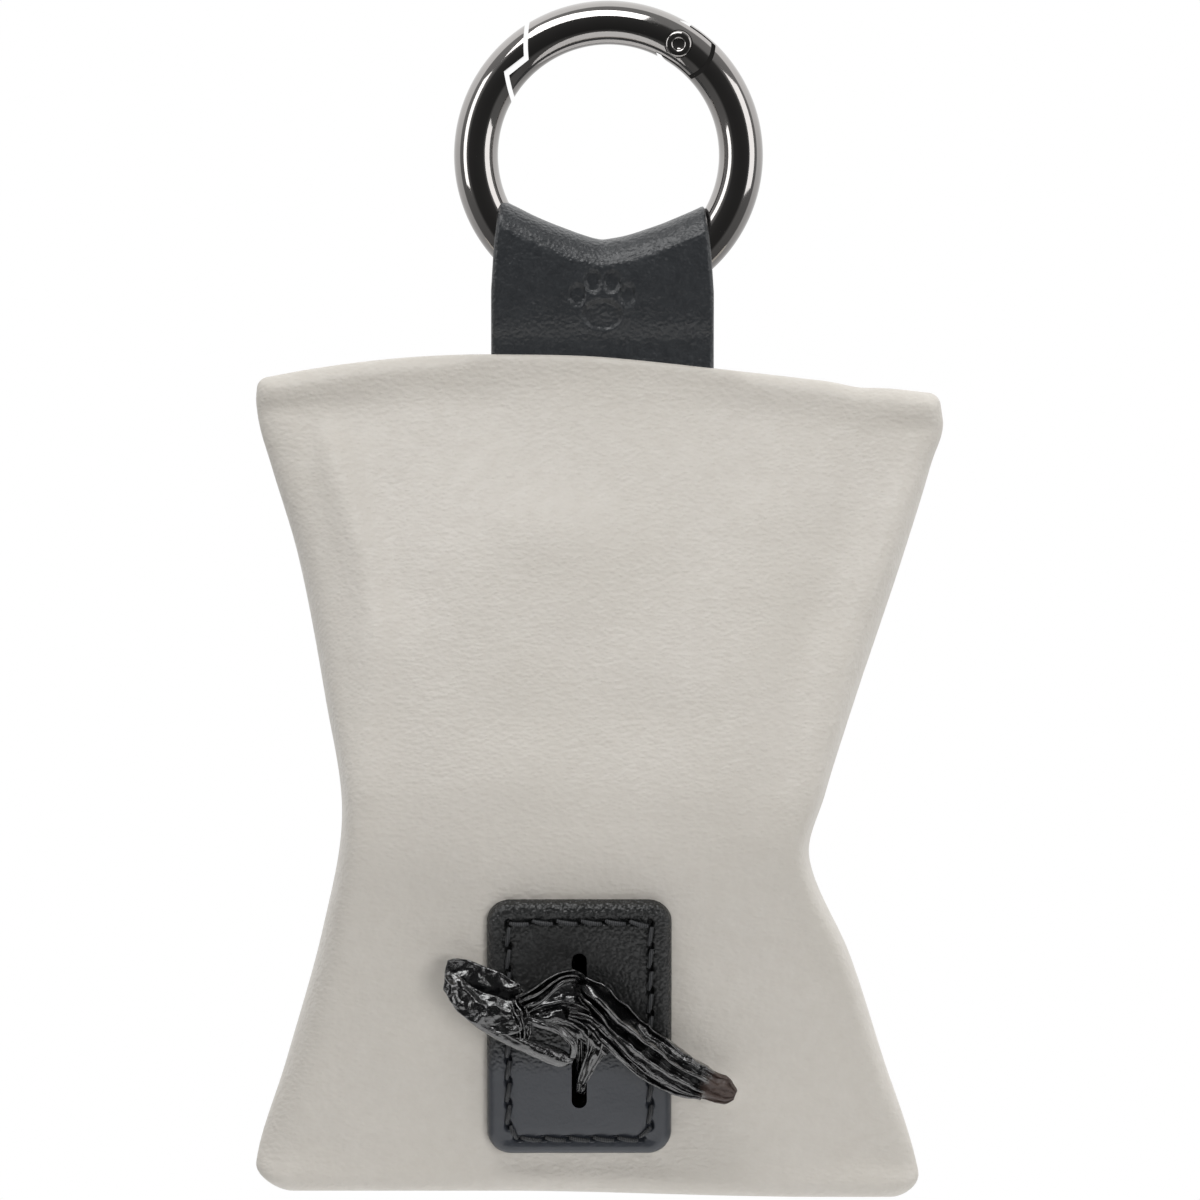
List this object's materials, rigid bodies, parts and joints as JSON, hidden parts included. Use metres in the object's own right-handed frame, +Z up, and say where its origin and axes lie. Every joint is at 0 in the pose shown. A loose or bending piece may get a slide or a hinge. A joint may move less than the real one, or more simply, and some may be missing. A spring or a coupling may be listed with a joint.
{
  "type": "dog waste bag pouch",
  "caption": "Soft faux-leather pouch that hangs from a spring-gate ring by a leather tab, holds a roll of bags across its waist and dispenses them through a stitched slit patch.",
  "frame": {"origin": "the hang point: the top of the ring's inner surface, where a hook, strap or belt loop carries it", "axes": "+Z up, against gravity as it hangs; the slit patch faces -Y; the ring's hinge is on the +X side"},
  "size_m": [0.0778, 0.0344, 0.1354],
  "materials": {
    "black_nickel": "polished black nickel plate",
    "zip_metal": "bright nickel plate",
    "pouch_leather": "beige faux leather with a fine pebble grain, semi-matte",
    "black_leather": "black faux leather, satin",
    "thread": "waxed black polyester thread",
    "pouch_thread": "beige polyester thread",
    "zip_tape": "woven polyester tape",
    "zip_coil": "nylon coil",
    "bag_film": "thin glossy black polyethylene film",
    "roll_core": "brown paperboard tube"
  },
  "bodies": {
    "ring": {"ring_body": "black_nickel", "gate_pin": "black_nickel"},
    "gate": {"ring_gate": "black_nickel", "gate_spring": "zip_metal"},
    "plunger": {"spring_plunger": "zip_metal"},
    "tab": {"hanger_tab": "black_leather"},
    "pouch": {"hanger_tab_root": "black_leather", "pouch_shell": "pouch_leather", "slot_patch": "black_leather", "patch_stitching": "thread", "zip_tape_upper": "zip_tape", "zip_tape_lower": "zip_tape", "zip_coil_upper": "zip_coil", "zip_coil_lower": "zip_coil", "zip_closed_stop": "zip_metal", "zip_open_stop": "zip_metal", "zip_stitching": "pouch_thread", "bag_leader": "bag_film"},
    "slider": {"zip_slider": "zip_metal"},
    "pull": {"zip_pull": "zip_metal"},
    "tail": {"bag_tail": "bag_film"},
    "roll": {"bag_roll": "bag_film", "roll_core": "roll_core"}
  },
  "joints": [
    {"name": "gate_hinge", "type": "hinge", "parent": "ring", "child": "gate", "pos_m": [0.00793, 0, 0], "axis": [0, -1, 0], "range_deg": [0, 45], "stiffness_Nm_per_rad": 0.02, "springref_deg": -68.75},
    {"name": "plunger_travel", "type": "slide", "parent": "gate", "child": "plunger", "axis": [-0.9542, 0, 0.299], "range_m": [0, 0.00105], "deforming": ["gate_spring"]},
    {"name": "tab_swing", "type": "hinge", "parent": "ring", "child": "tab", "pos_m": [0, 0, -0.0125], "axis": [0, 1, 0], "range_deg": [-45, 45]},
    {"name": "pouch_flex", "type": "hinge", "parent": "tab", "child": "pouch", "pos_m": [-0.00068, 0, -0.0346], "axis": [1, 0, 0], "range_deg": [-75, 75], "deforming": ["hanger_tab_root"]},
    {"name": "zip_slide", "type": "slide", "parent": "pouch", "child": "slider", "axis": [-1, 0, 0], "range_m": [0, 0.038]},
    {"name": "pull_hinge", "type": "hinge", "parent": "slider", "child": "pull", "pos_m": [0.0178, 0.00842, -0.05288], "axis": [0, 0.3022, -0.9533], "range_deg": [0, 170]},
    {"name": "bag_pull", "type": "slide", "parent": "pouch", "child": "tail", "axis": [0, -1, 0], "range_m": [0, 0.025], "deforming": ["bag_leader"]},
    {"name": "roll_turn", "type": "hinge", "parent": "pouch", "child": "roll", "pos_m": [-0.0036, 0, -0.0884], "axis": [1, 0, 0], "range_deg": [0, 105]}
  ],
  "couplings": [
    {"joint": "plunger_travel", "follows": "gate_hinge", "m_per_rad": 0.0012732},
    {"joint": "roll_turn", "follows": "bag_pull", "rad_per_m": 68.97}
  ]
}
